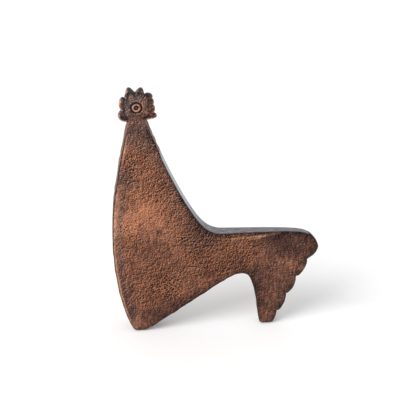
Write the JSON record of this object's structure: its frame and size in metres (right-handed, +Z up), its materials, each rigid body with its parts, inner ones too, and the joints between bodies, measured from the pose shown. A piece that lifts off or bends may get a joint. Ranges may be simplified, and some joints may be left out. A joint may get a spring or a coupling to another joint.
{
  "type": "hen figurine",
  "caption": "Flat wedge-shaped cast hen ornament on two feet, with a tall neck, a lobed head with a ringed eye, and a level back ending in feather steps.",
  "frame": {"origin": "on the table under the middle of the hen's length and thickness", "axes": "+Z up, +X from the breast towards the tail, +Y away from the face that the picture shows"},
  "size_m": [0.202, 0.0264, 0.251],
  "materials": {
    "cast_copper_patina": "sand-cast aluminium with a rubbed antique copper patina, dark and smooth on the dressed edge",
    "cast_dark_patina": "sand-cast aluminium with a darker antique copper patina",
    "pin_steel": "bright ground steel",
    "pad_rubber": "dull black-brown rubber"
  },
  "bodies": {
    "root": {"front_shell": "cast_copper_patina", "back_shell": "cast_copper_patina", "head": "cast_dark_patina", "head_pin": "pin_steel", "dowel_neck": "pin_steel", "dowel_breast": "pin_steel", "dowel_back": "pin_steel", "dowel_tail": "pin_steel", "dowel_leg": "pin_steel", "breast_pad": "pad_rubber", "tail_pad": "pad_rubber"}
  },
  "joints": []
}
